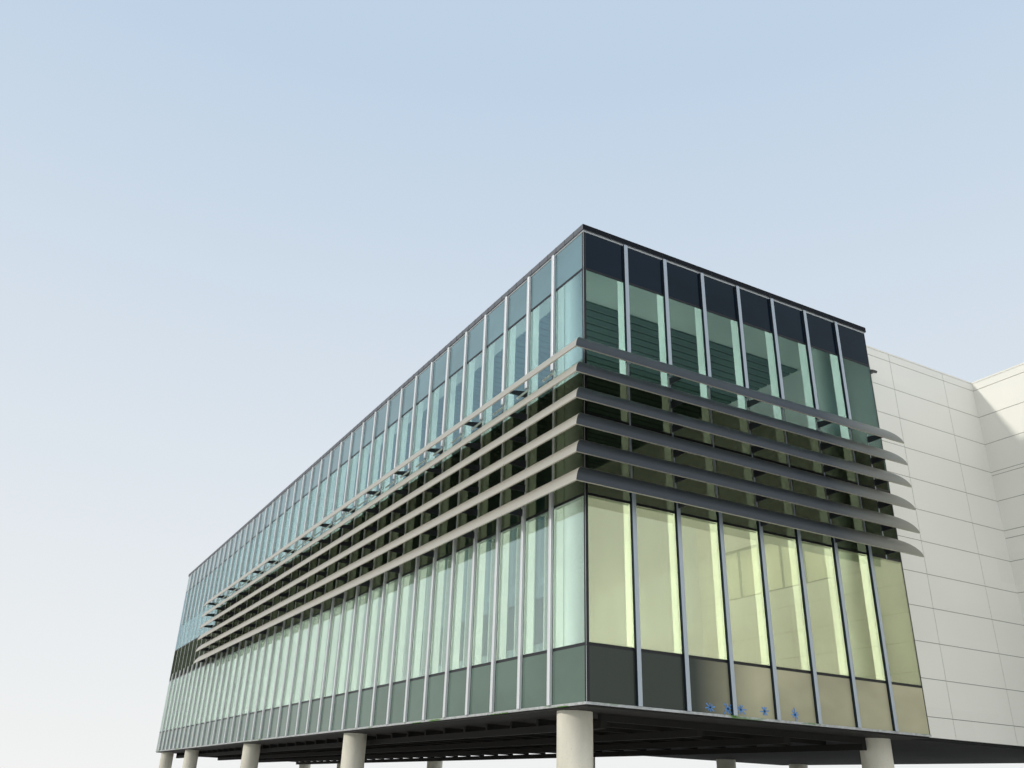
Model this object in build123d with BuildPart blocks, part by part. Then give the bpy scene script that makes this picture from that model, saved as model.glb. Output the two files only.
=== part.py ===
"""Glazed airport terminal on round columns, at half of its real size.

A long glazed hall with vertical fins and curved sun louvres stands over an open undercroft.
A white panelled block with a forward wing and ribbon windows joins its east side.
X runs along the short face, Y along the long face and Z is up.
The origin is on the ground, under the centre of the whole plan.
"""

import os
from math import cos, radians, sin, sqrt

from build123d import *

os.makedirs("parts", exist_ok=True)

# Plan of the glazed hall, in bays of the curtain wall
bay = 762.0
long_bays = 39
short_bays = 8
corner_offset = 51.0

# Heights of the hall's faces, from the ground up
glass_base = 1840.0
base_spandrel_height = 668.0
lower_window_height = 1909.0
band_window_height = 1157.0
upper_window_height = 2339.0
top_spandrel_height = 648.0
transom_height = 30.0

# Curtain wall
glass_thickness = 12.0
mullion_width = 60.0
mullion_depth = 150.0
corner_post_width = 42.0
sill_height = 30.0
sill_reach = 18.0
trim_height = 30.0
trim_reach = 8.0
coping_height = 92.0
coping_reach = 26.0
coping_depth = 190.0

# Fins on the mullions, each with a crowned nose
fin_width = 66.0
fin_depth = 48.0
fin_crown = 6.0
fin_gap_over_arms = 43.0
cap_width = 24.0
cap_depth = 8.0

# Curved louvre blades
blade_count = 6
blade_pitch = 381.0
blade_edge_height = 2568.0
blade_reach = 419.0
blade_radius = 458.0
blade_lean = 15.0
blade_sweep = 47.0
blade_thickness = 20.0
blade_long_end = 23012.0
blade_tip_length = 457.0
tip_margin = 0.5
tip_step = 2.0

# Outriggers that carry the blades
bracket_thickness = 16.0
bracket_foot_drop = 60.0
bracket_foot_height = 110.0
bracket_tip_height = 50.0
bracket_clearance = 0.3
bays_per_bracket = 2
end_bracket_inset = 358.0

# Slabs, and the joists and beams under the hall's floor
slab_thickness = 54.0
roof_thickness = 150.0
joist_depth = 90.0
joist_width = 60.0
joist_pitch = 762.0
beam_depth = 90.0
beam_width = 90.0
beam_count = 4
soffit_inset = 640.0

# Columns
column_radius = 228.0
column_side_inset = 320.0
column_end_inset = 747.0
column_span = 7884.0
hall_column_radius = 150.0

# White block and its forward wing
wall_thickness = 90.0
wall_recess = 343.0
wall_top_drop = 76.0
wing_offset = 3482.0
wing_width = 3048.0
wing_reach = 9144.0
block_depth = 9144.0
wall_cap_height = 30.0
wall_cap_reach = 10.0
parapet_height = 200.0

# Ribbon windows of the white block
ribbon_sill_height = 3581.0
ribbon_height = 1219.0
ribbon_start = 4839.0
ribbon_end_inset = 762.0
ribbon_setback = 25.0
sash_width = 36.0
sash_depth = 50.0
sash_pitch = 762.0

# Flood lamp on the recessed wall
lamp_offset = 410.0
lamp_height = 6180.0
lamp_arm_length = 90.0
lamp_arm_height = 20.0
lamp_head_length = 96.0
lamp_head_height = 44.0
lamp_width = 110.0
lamp_tilt = 25.0

# Plan lines
hall_width = short_bays * bay
hall_length = long_bays * bay
west_x = (blade_reach - hall_width - wing_offset - wing_width - wall_cap_reach) / 2
south_y = (wing_reach + wall_cap_reach - wall_recess - hall_length) / 2
east_x = west_x + hall_width
north_y = south_y + hall_length
recess_y = south_y + wall_recess
wing_x = east_x + wing_offset
wing_y = recess_y - wing_reach
block_x = wing_x + wing_width
block_y = recess_y + block_depth

# Levels
base_transom_z = glass_base + base_spandrel_height
head_transom_z = base_transom_z + lower_window_height
mid_transom_z = head_transom_z + band_window_height
top_transom_z = mid_transom_z + upper_window_height
glass_top = top_transom_z + top_spandrel_height
coping_base = glass_top + trim_height
coping_top = coping_base + coping_height
roof_base = coping_base - roof_thickness
slab_base = glass_base - slab_thickness
joist_base = slab_base - joist_depth
wall_top = coping_top - wall_top_drop - wall_cap_height
block_roof_base = wall_top - parapet_height - roof_thickness
ribbon_base = glass_base + ribbon_sill_height
ribbon_top = ribbon_base + ribbon_height

# Levels of the lower edges of the louvre blades, from the lowest blade up
blade_edges = [glass_base + blade_edge_height + number * blade_pitch for number in range(blade_count)]

# Section of a blade: an arc that leans in from its lower edge, with its centre inside and below that edge
blade_centre_inset = blade_radius * cos(radians(blade_lean))
blade_centre_drop = blade_radius * sin(radians(blade_lean))
blade_rise = blade_radius * sin(radians(blade_lean + blade_sweep)) - blade_centre_drop
inner_radius = blade_radius - blade_thickness

# Mullion places along each face, and the inner faces of the glass
long_mullions = [south_y + corner_offset + number * bay for number in range(1, long_bays)]
short_mullions = [west_x + number * bay for number in range(1, short_bays)]
open_east_mullions = [y for y in long_mullions if y > block_y + mullion_width]
back_x = west_x + glass_thickness
back_y = south_y + glass_thickness
back_east_x = east_x - glass_thickness
end_arm_x = east_x - end_bracket_inset

# Column places
first_row_y = south_y + column_end_inset
last_row_y = north_y - column_end_inset
regular_row_count = int((last_row_y - first_row_y) / column_span + 0.5)
column_rows = [first_row_y + number * column_span for number in range(regular_row_count)] + [last_row_y]
column_lines = [west_x + column_side_inset, east_x - column_side_inset]
wing_lines = [wing_x + column_side_inset, block_x - column_side_inset]
wing_rows = [wing_y + column_end_inset, column_rows[0], column_rows[1]]
hall_column_places = [(x, column_rows[0]) for x in column_lines]
column_places = [(x, y) for x in column_lines for y in column_rows]
column_places += [(x, y) for x in wing_lines for y in wing_rows]


def rectangle_between(low_u, high_u, low_v, high_v, mode=Mode.ADD):
    """Draw a rectangle in the sketch in hand, from its low corner to its high corner."""
    with Locations(((low_u + high_u) / 2, (low_v + high_v) / 2)):
        Rectangle(high_u - low_u, high_v - low_v, mode=mode)


def save(builder, name):
    """Label a finished sub-part and write its file."""
    builder.part.label = name
    export_step(builder.part, f"parts/{name}.step")


# Round concrete columns of the undercroft
with BuildPart() as round_columns:
    with BuildSketch():
        with Locations(*column_places):
            Circle(column_radius)
    extrude(amount=slab_base)
save(round_columns, "round_columns")

# White columns inside the hall's glazed end, over those of the undercroft
with BuildPart() as hall_columns:
    with BuildSketch(Plane.XY.offset(glass_base)):
        with Locations(*hall_column_places):
            Circle(hall_column_radius)
    extrude(amount=roof_base - glass_base)
save(hall_columns, "hall_columns")

# Floor slab of the hall
with BuildPart() as hall_floor:
    with BuildSketch(Plane.XY.offset(slab_base)):
        rectangle_between(back_x, back_east_x, back_y, north_y)
    extrude(amount=slab_thickness)
save(hall_floor, "hall_floor")

# Roof slab of the hall, notched round the corner post
with BuildPart() as hall_roof:
    with BuildSketch(Plane.XY.offset(roof_base)):
        rectangle_between(back_x, back_east_x, back_y, north_y - wall_thickness)
        rectangle_between(
            back_x,
            west_x + corner_post_width,
            back_y,
            south_y + corner_post_width,
            mode=Mode.SUBTRACT,
        )
    extrude(amount=roof_thickness)
save(hall_roof, "hall_roof")

# Joists under the hall's floor, from side to side
joist_run = hall_length - 2 * soffit_inset - joist_width
joist_count = int(joist_run // joist_pitch) + 1
first_joist_y = south_y + soffit_inset
with BuildPart() as cross_ribs:
    with BuildSketch(Plane.XY.offset(joist_base)):
        for number in range(joist_count):
            joist_y = first_joist_y + number * joist_pitch
            rectangle_between(
                west_x + soffit_inset, east_x - soffit_inset, joist_y, joist_y + joist_width
            )
    extrude(amount=joist_depth)
save(cross_ribs, "cross_ribs")

# Long beams under the joists
beam_span = (hall_width - 2 * soffit_inset - beam_width) / (beam_count - 1)
last_joist_y = first_joist_y + (joist_count - 1) * joist_pitch + joist_width
with BuildPart() as long_ribs:
    with BuildSketch(Plane.XY.offset(joist_base - beam_depth)):
        for number in range(beam_count):
            beam_x = west_x + soffit_inset + number * beam_span
            rectangle_between(beam_x, beam_x + beam_width, first_joist_y, last_joist_y)
    extrude(amount=beam_depth)
save(long_ribs, "long_ribs")

# Light sill strips under the glass
with BuildPart() as base_sills:
    with BuildSketch(Plane.XY.offset(glass_base - sill_height)):
        rectangle_between(west_x - sill_reach, back_x, back_y, north_y)
        rectangle_between(west_x - sill_reach, east_x, south_y - sill_reach, back_y)
        rectangle_between(back_east_x, east_x + sill_reach, block_y, north_y)
    extrude(amount=sill_height)
save(base_sills, "base_sills")

# Slim dark post at the glass corner
with BuildPart() as corner_posts:
    with BuildSketch(Plane.XY.offset(glass_base)):
        rectangle_between(west_x, west_x + corner_post_width, south_y, south_y + corner_post_width)
    extrude(amount=glass_top - glass_base)
save(corner_posts, "corner_posts")

# Deep mullion tubes behind the glass of the long west face
with BuildPart() as west_mullions:
    with BuildSketch(Plane.XY.offset(glass_base)):
        with Locations(*[(back_x, y) for y in long_mullions]):
            Rectangle(mullion_depth, mullion_width, align=(Align.MIN, Align.CENTER))
    extrude(amount=roof_base - glass_base)
save(west_mullions, "west_mullions")

# Deep mullion tubes behind the glass of the short south face
with BuildPart() as south_mullions:
    with BuildSketch(Plane.XY.offset(glass_base)):
        with Locations(*[(x, back_y) for x in short_mullions]):
            Rectangle(mullion_width, mullion_depth, align=(Align.CENTER, Align.MIN))
    extrude(amount=roof_base - glass_base)
save(south_mullions, "south_mullions")

# Deep mullion tubes behind the glass of the east face
with BuildPart() as east_mullions:
    with BuildSketch(Plane.XY.offset(glass_base)):
        with Locations(*[(back_east_x, y) for y in open_east_mullions]):
            Rectangle(mullion_depth, mullion_width, align=(Align.MAX, Align.CENTER))
    extrude(amount=roof_base - glass_base)
save(east_mullions, "east_mullions")


def draw_glazed_faces():
    """Draw the plan of the glass on the three glazed faces, in the sketch in hand."""
    rectangle_between(west_x, back_x, south_y + corner_post_width, north_y)
    rectangle_between(west_x + corner_post_width, east_x, south_y, back_y)
    rectangle_between(back_east_x, east_x, block_y, north_y)


def glazing_level(name, low_z, high_z):
    """Make one level of the curtain wall: a sheet on each of the three glazed faces."""
    with BuildPart() as level:
        with BuildSketch(Plane.XY.offset(low_z)):
            draw_glazed_faces()
        extrude(amount=high_z - low_z)
    save(level, name)


half_transom = transom_height / 2
glazing_level("base_spandrels", glass_base, base_transom_z - half_transom)
glazing_level("lower_glass", base_transom_z + half_transom, head_transom_z - half_transom)
glazing_level("band_glass", head_transom_z + half_transom, mid_transom_z - half_transom)
glazing_level("upper_glass", mid_transom_z + half_transom, top_transom_z - half_transom)
glazing_level("top_spandrels", top_transom_z + half_transom, glass_top)

# Dark transoms between the levels of glass
with BuildPart() as transoms:
    for transom_z in (base_transom_z, head_transom_z, mid_transom_z, top_transom_z):
        with BuildSketch(Plane.XY.offset(transom_z - half_transom)):
            draw_glazed_faces()
        extrude(amount=transom_height)
save(transoms, "transoms")

# Section of a fin with its nose to the south: flat back, straight flanks and a crowned nose
flank_y = fin_crown - fin_depth
with BuildSketch() as fin_section:
    with BuildLine():
        fin_back = Polyline(
            (fin_width / 2, flank_y), (fin_width / 2, 0), (-fin_width / 2, 0), (-fin_width / 2, flank_y)
        )
        ThreePointArc(fin_back @ 1, (0, -fin_depth), fin_back @ 0)
    make_face()

# Places of the fins, each turned so that its nose points away from its face
west_fins = [Location((west_x, y, 0), (0, 0, -90)) for y in long_mullions]
south_fins = [Location((x, south_y, 0)) for x in short_mullions]
open_east_fins = [Location((east_x, y, 0), (0, 0, 90)) for y in open_east_mullions]


def fin_row(name, places, low_z, high_z):
    """Make a row of fins that stand on their mullions from one level to another."""
    with BuildPart() as fins:
        with BuildSketch(Plane.XY.offset(low_z)):
            with Locations(*places):
                add(fin_section.sketch)
        extrude(amount=high_z - low_z)
    save(fins, name)


over_arm = bracket_foot_drop + bracket_foot_height + fin_gap_over_arms
lower_fin_top = blade_edges[0] + over_arm
upper_fin_base = blade_edges[-1] + over_arm
fin_row("lower_fins", west_fins + south_fins, glass_base, lower_fin_top)
fin_row("upper_fins", west_fins + south_fins, upper_fin_base, glass_top)
fin_row("east_fins", open_east_fins, glass_base, glass_top)

# Slim caps on the mullions behind the louvres
with BuildPart() as band_caps:
    with BuildSketch(Plane.XY.offset(lower_fin_top)):
        with Locations(*[(west_x, y) for y in long_mullions]):
            Rectangle(cap_depth, cap_width, align=(Align.MAX, Align.CENTER))
        with Locations(*[(x, south_y) for x in short_mullions]):
            Rectangle(cap_width, cap_depth, align=(Align.CENTER, Align.MAX))
    extrude(amount=upper_fin_base - lower_fin_top)
    with BuildSketch(Plane.XY.offset(blade_edges[0])):
        with Locations((end_arm_x, south_y)):
            Rectangle(cap_width, cap_depth, align=(Align.CENTER, Align.MAX))
    extrude(amount=upper_fin_base - blade_edges[0])
save(band_caps, "band_caps")

# Light trim under the coping
with BuildPart() as top_trims:
    with BuildSketch(Plane.XY.offset(glass_top)):
        rectangle_between(west_x - trim_reach, back_x, back_y, north_y)
        rectangle_between(west_x - trim_reach, east_x, south_y - trim_reach, back_y)
        rectangle_between(back_east_x, east_x + trim_reach, block_y + wall_cap_reach, north_y)
    extrude(amount=trim_height)
save(top_trims, "top_trims")

# Dark metal coping round the roof edge, cut back where the white block joins
with BuildPart() as roof_coping:
    with BuildSketch(Plane.XY.offset(coping_base)):
        rectangle_between(west_x - coping_reach, east_x, south_y - coping_reach, north_y)
        rectangle_between(
            east_x, east_x + coping_reach, south_y - coping_reach, recess_y - wall_cap_reach
        )
        rectangle_between(east_x, east_x + coping_reach, block_y + wall_cap_reach, north_y)
        rectangle_between(
            west_x + coping_depth,
            east_x - coping_depth,
            south_y + coping_depth,
            north_y - coping_depth,
            mode=Mode.SUBTRACT,
        )
    extrude(amount=coping_height)
save(roof_coping, "roof_coping")

# Curved louvre blades, mitred round the corner, each ending in two wing tips
blade_x = west_x - blade_reach
blade_y = south_y - blade_reach
blade_end_y = south_y + blade_long_end
blade_top_angle = 180 - blade_lean - blade_sweep
blade_centre = (blade_centre_inset, -blade_centre_drop)
tip_height = blade_rise - tip_step
south_face = Plane.XZ.offset(-south_y)
west_face = Plane.YZ.offset(west_x)
for number, edge_z in enumerate(reversed(blade_edges), start=1):
    with BuildPart() as louvre_blade:
        with BuildLine() as blade_path:
            Polyline(
                (east_x, blade_y, edge_z), (blade_x, blade_y, edge_z), (blade_x, blade_end_y, edge_z)
            )
        with BuildSketch(Plane(origin=(east_x, blade_y, edge_z), x_dir=(0, 1, 0), z_dir=(1, 0, 0))):
            with BuildLine():
                outer = CenterArc(blade_centre, blade_radius, blade_top_angle, blade_sweep)
                inner = CenterArc(blade_centre, inner_radius, blade_top_angle, blade_sweep)
                Line(outer @ 0, inner @ 0)
                Line(outer @ 1, inner @ 1)
            make_face()
        sweep(path=blade_path.line, transition=Transition.RIGHT)
        for face, end in ((south_face, east_x), (west_face, blade_end_y)):
            with BuildSketch(face):
                with Locations((end - blade_tip_length, edge_z)):
                    Rectangle(2 * blade_tip_length, blade_reach, align=(Align.MIN, Align.MIN))
                    Ellipse(blade_tip_length + tip_margin, tip_height, mode=Mode.SUBTRACT)
            extrude(amount=blade_reach, both=True, mode=Mode.SUBTRACT)
    save(louvre_blade, f"louvre_blade_{number}")

# Outrigger arms, each on a cap between the fins or, under the lowest blade, on the nose of a fin
arm_radius = inner_radius - bracket_clearance
arm_low = bracket_foot_drop
arm_tip = bracket_foot_drop + bracket_tip_height
west_arms = [y for y in long_mullions[bays_per_bracket - 1 :: bays_per_bracket] if y < blade_end_y]
south_arms = short_mullions[bays_per_bracket - 1 :: bays_per_bracket]


def arm_reach(level):
    """How far out an arm may go at a level over the blade's lower edge, to seat in its curve."""
    return blade_reach - blade_centre_inset + sqrt(arm_radius**2 - (level + blade_centre_drop) ** 2)


def arm_side(foot):
    """Side outline of an arm, which tapers out from its foot into the curve of the blade."""
    return [
        (foot, arm_low),
        (arm_reach(arm_low), arm_low),
        (arm_reach(arm_tip), arm_tip),
        (foot, arm_low + bracket_foot_height),
    ]


def arm_stack(lowest_foot):
    """Draw the arms of one mullion in the sketch in hand, one under each blade."""
    with Locations((0, blade_edges[0])):
        Polygon(*arm_side(lowest_foot), align=None)
    with Locations(*[(0, edge_z) for edge_z in blade_edges[1:]]):
        Polygon(*arm_side(cap_depth), align=None)


with BuildPart() as west_brackets:
    for y in west_arms:
        with BuildSketch(Plane((west_x, y, 0), x_dir=(-1, 0, 0), z_dir=(0, 1, 0))):
            arm_stack(fin_depth)
        extrude(amount=bracket_thickness / 2, both=True)
save(west_brackets, "west_brackets")

with BuildPart() as south_brackets:
    for x, lowest_foot in [(x, fin_depth) for x in south_arms] + [(end_arm_x, cap_depth)]:
        with BuildSketch(Plane((x, south_y, 0), x_dir=(0, -1, 0), z_dir=(-1, 0, 0))):
            arm_stack(lowest_foot)
        extrude(amount=bracket_thickness / 2, both=True)
save(south_brackets, "south_brackets")


def panel_wall(name, low_x, high_x, low_y, high_y, top=wall_top):
    """Make one straight panelled wall from its plan."""
    with BuildPart() as wall:
        with BuildSketch(Plane.XY.offset(glass_base)):
            rectangle_between(low_x, high_x, low_y, high_y)
        extrude(amount=top - glass_base)
    save(wall, name)


def ribbon_wall(name, low_x, low_y, high_y, ribbon):
    """Make a panelled wall along Y with one long window opening cut through it."""
    with BuildPart() as wall:
        with BuildSketch(Plane.YZ.offset(low_x)):
            rectangle_between(low_y, high_y, glass_base, wall_top)
            rectangle_between(*ribbon, ribbon_base, ribbon_top, mode=Mode.SUBTRACT)
        extrude(amount=wall_thickness)
    save(wall, name)


west_ribbon = (wing_y + ribbon_end_inset, recess_y - ribbon_start)
east_ribbon = (wing_y + ribbon_end_inset, block_y - ribbon_end_inset)
inner_wing_x = wing_x + wall_thickness
inner_block_x = block_x - wall_thickness
inner_dividing_x = east_x + wall_thickness
inner_recess_y = recess_y + wall_thickness
inner_wing_y = wing_y + wall_thickness
inner_block_y = block_y - wall_thickness

panel_wall("recessed_wall", east_x, wing_x, recess_y, inner_recess_y)
panel_wall("wing_south_wall", inner_wing_x, inner_block_x, wing_y, inner_wing_y)
panel_wall("block_north_wall", east_x, inner_block_x, inner_block_y, block_y)
panel_wall("dividing_wall", east_x, inner_dividing_x, inner_recess_y, inner_block_y)
ribbon_wall("wing_west_wall", wing_x, wing_y, inner_recess_y, west_ribbon)
ribbon_wall("block_east_wall", inner_block_x, wing_y, block_y, east_ribbon)

# Plain end wall of the hall, and the solid stretch of its east side beside the white block
panel_wall("party_wall", back_x, back_east_x, north_y - wall_thickness, north_y, top=coping_base)
panel_wall("hall_return", back_east_x, east_x, back_y, block_y, top=coping_base)


def draw_sashes(ribbon):
    """Draw the frame round a ribbon window and its upright bars, in the sketch in hand."""
    start, end = ribbon
    pane_count = round((end - start) / sash_pitch)
    pane_pitch = (end - start - sash_width) / pane_count
    rectangle_between(start, end, ribbon_base, ribbon_top)
    for number in range(pane_count):
        pane_start = start + sash_width + number * pane_pitch
        rectangle_between(
            pane_start,
            pane_start + pane_pitch - sash_width,
            ribbon_base + sash_width,
            ribbon_top - sash_width,
            mode=Mode.SUBTRACT,
        )


# Dark frames of the ribbon windows, set back from the face of their walls
with BuildPart() as ribbon_frames:
    with BuildSketch(Plane.YZ.offset(wing_x + ribbon_setback)):
        draw_sashes(west_ribbon)
    extrude(amount=sash_depth)
    with BuildSketch(Plane.YZ.offset(block_x - ribbon_setback - sash_depth)):
        draw_sashes(east_ribbon)
    extrude(amount=sash_depth)
save(ribbon_frames, "ribbon_frames")

# Glass behind the frames of the ribbon windows
with BuildPart() as ribbon_glass:
    with BuildSketch(Plane.YZ.offset(wing_x + ribbon_setback + sash_depth)):
        rectangle_between(*west_ribbon, ribbon_base, ribbon_top)
    extrude(amount=glass_thickness)
    with BuildSketch(Plane.YZ.offset(block_x - ribbon_setback - sash_depth)):
        rectangle_between(*east_ribbon, ribbon_base, ribbon_top)
    extrude(amount=-glass_thickness)
save(ribbon_glass, "ribbon_glass")

# Floor and roof slabs of the white block, as two rectangles joined into an L
with BuildPart() as block_floor:
    with BuildSketch(Plane.XY.offset(slab_base)):
        rectangle_between(back_east_x, block_x, recess_y, block_y)
        rectangle_between(wing_x, block_x, wing_y, recess_y)
    extrude(amount=slab_thickness)
save(block_floor, "block_floor")

with BuildPart() as block_roof:
    with BuildSketch(Plane.XY.offset(block_roof_base)):
        rectangle_between(inner_dividing_x, inner_block_x, inner_recess_y, inner_block_y)
        rectangle_between(inner_wing_x, inner_block_x, inner_wing_y, inner_recess_y)
    extrude(amount=roof_thickness)
save(block_roof, "block_roof")

# Light metal cap on the walls of the white block
with BuildPart() as block_coping:
    with BuildSketch(Plane.XY.offset(wall_top)):
        rectangle_between(
            east_x, block_x + wall_cap_reach, recess_y - wall_cap_reach, block_y + wall_cap_reach
        )
        rectangle_between(
            wing_x - wall_cap_reach, block_x + wall_cap_reach, wing_y - wall_cap_reach, recess_y
        )
        rectangle_between(
            inner_dividing_x, inner_block_x, inner_recess_y, inner_block_y, mode=Mode.SUBTRACT
        )
        rectangle_between(
            inner_wing_x, inner_block_x, inner_wing_y, inner_recess_y, mode=Mode.SUBTRACT
        )
    extrude(amount=wall_cap_height)
save(block_coping, "block_coping")

# Flood lamp on the recessed wall: a short arm with a head that tips down
lamp_plane = Plane(
    origin=(east_x + lamp_offset, recess_y, glass_base + lamp_height), x_dir=(0, -1, 0), z_dir=(-1, 0, 0)
)
with BuildPart() as wall_lamp:
    with BuildSketch(lamp_plane):
        Rectangle(lamp_arm_length, lamp_arm_height, align=(Align.MIN, Align.CENTER))
        with Locations(Location((lamp_arm_length, 0, 0), (0, 0, -lamp_tilt))):
            Rectangle(lamp_head_length, lamp_head_height, align=(Align.CENTER, Align.CENTER))
    extrude(amount=lamp_width / 2, both=True)
save(wall_lamp, "wall_lamp")
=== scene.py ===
"""Finish of the glazed airport terminal: panels, gaskets, seams, ceiling, roofs, materials and stage.

Every size is in metres, in the frame of the solids, which are at half of their real size.
"""

import math
import random

import bmesh
import bpy
from bpy.props import FloatProperty, FloatVectorProperty, IntProperty, PointerProperty
from mathutils import Matrix, Vector


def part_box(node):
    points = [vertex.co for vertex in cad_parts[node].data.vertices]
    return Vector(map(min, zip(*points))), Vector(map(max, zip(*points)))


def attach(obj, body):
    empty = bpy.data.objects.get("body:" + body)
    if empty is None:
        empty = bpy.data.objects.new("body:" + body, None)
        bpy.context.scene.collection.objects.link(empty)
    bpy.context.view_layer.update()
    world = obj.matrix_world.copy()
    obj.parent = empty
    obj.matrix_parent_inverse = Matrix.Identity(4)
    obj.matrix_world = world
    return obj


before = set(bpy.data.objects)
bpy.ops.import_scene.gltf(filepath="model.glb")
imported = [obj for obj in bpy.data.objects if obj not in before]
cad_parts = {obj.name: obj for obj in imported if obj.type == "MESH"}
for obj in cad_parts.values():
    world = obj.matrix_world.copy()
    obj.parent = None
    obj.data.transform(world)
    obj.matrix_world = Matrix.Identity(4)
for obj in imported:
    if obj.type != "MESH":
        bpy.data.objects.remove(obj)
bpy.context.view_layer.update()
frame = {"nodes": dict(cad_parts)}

bl_info = {
    "name": "Airport Terminal Finish",
    "version": (1, 0, 0),
    "blender": (4, 5, 0),
    "location": "3D View > Sidebar > Terminal",
    "description": "Dresses the glazed terminal with panels, seals, seams and finishes",
    "category": "Object",
}

# Lines and levels of the solids
GLASS_LOW, GLASS_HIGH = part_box("lower_glass")
WEST_X, SOUTH_Y = GLASS_LOW.x, GLASS_LOW.y
EAST_X, NORTH_Y = GLASS_HIGH.x, GLASS_HIGH.y
SHORT_BAYS = 8
BAY = (EAST_X - WEST_X) / SHORT_BAYS
LONG_BAYS = round((NORTH_Y - SOUTH_Y) / BAY)
GLASS_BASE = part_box("base_spandrels")[0].z
GLASS_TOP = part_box("top_spandrels")[1].z
BASE_TRANSOM = (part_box("base_spandrels")[1].z, GLASS_LOW.z)
HEAD_TRANSOM = (GLASS_HIGH.z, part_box("band_glass")[0].z)
MID_TRANSOM = (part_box("band_glass")[1].z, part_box("upper_glass")[0].z)
TOP_TRANSOM = (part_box("upper_glass")[1].z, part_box("top_spandrels")[0].z)
ROOF_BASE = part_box("hall_roof")[0].z
WALL_LOW, WALL_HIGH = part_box("recessed_wall")
WING_LOW, WING_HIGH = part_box("wing_west_wall")
BLOCK_LOW, BLOCK_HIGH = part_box("block_east_wall")
RIBBON_LOW, RIBBON_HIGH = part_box("ribbon_frames")
COPING_LOW, COPING_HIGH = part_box("roof_coping")
LONG_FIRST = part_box("west_mullions")[0].y
LONG_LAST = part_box("west_mullions")[1].y
MULLION_WIDTH = LONG_LAST - LONG_FIRST - (LONG_BAYS - 2) * BAY
LONG_LINES = [LONG_FIRST + MULLION_WIDTH / 2 + number * BAY for number in range(LONG_BAYS - 1)]
SHORT_LINES = [WEST_X + number * BAY for number in range(1, SHORT_BAYS)]

# Half the width of a fin, as in the solids
FIN_HALF = 0.033

# Section of a louvre blade: radius, lean of its lower edge and sweep of its arc in degrees, as in the solids
BLADE_RADIUS = 0.458
BLADE_LEAN = 15.0
BLADE_SWEEP = 47.0
BLADES = tuple(f"louvre_blade_{number}" for number in range(1, 7))

# Torn film: bays from the corner, range of heights above the base, and the strips of one scrap
FILM_BAYS = (2.49, 2.88, 3.17, 3.72, 4.44)
FILM_RISE = (0.06, 0.10)
FILM_STRIPS = 4
FILM_THICKNESS, FILM_WIDTH = 0.003, 0.015

# Moss: bays from the corner with its spread in metres, tufts in a patch and ranges of a tuft's half sizes
MOSS_PATCHES = ((0.65, 0.12), (2.87, 0.30), (6.43, 0.20))
MOSS_TUFTS = 16
TUFT_DEPTH, TUFT_WIDTH, TUFT_HEIGHT = (0.004, 0.008), (0.015, 0.04), (0.004, 0.009)
WEAR_SEED = 7

UP = Vector((0, 0, 1))


def linear(code):
    """Linear red, green, blue and alpha of an sRGB hex colour."""
    channels = [int(code[place : place + 2], 16) / 255 for place in (0, 2, 4)]
    return tuple(c / 12.92 if c <= 0.04045 else ((c + 0.055) / 1.055) ** 2.4 for c in channels) + (1.0,)


def colour(label, code, description):
    """A colour property whose default is an sRGB hex value."""
    return FloatVectorProperty(
        name=label, description=description, default=linear(code), size=4, min=0, max=1, subtype="COLOR"
    )


def length(label, default, description):
    """A length property in metres."""
    return FloatProperty(name=label, description=description, default=default, min=0, unit="LENGTH")


def amount(label, default, description):
    """A strength or power, nought or more."""
    return FloatProperty(name=label, description=description, default=default, min=0)


def direction(label, default, description):
    """The direction that a light comes from."""
    return FloatVectorProperty(name=label, description=description, default=default, subtype="DIRECTION")


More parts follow.
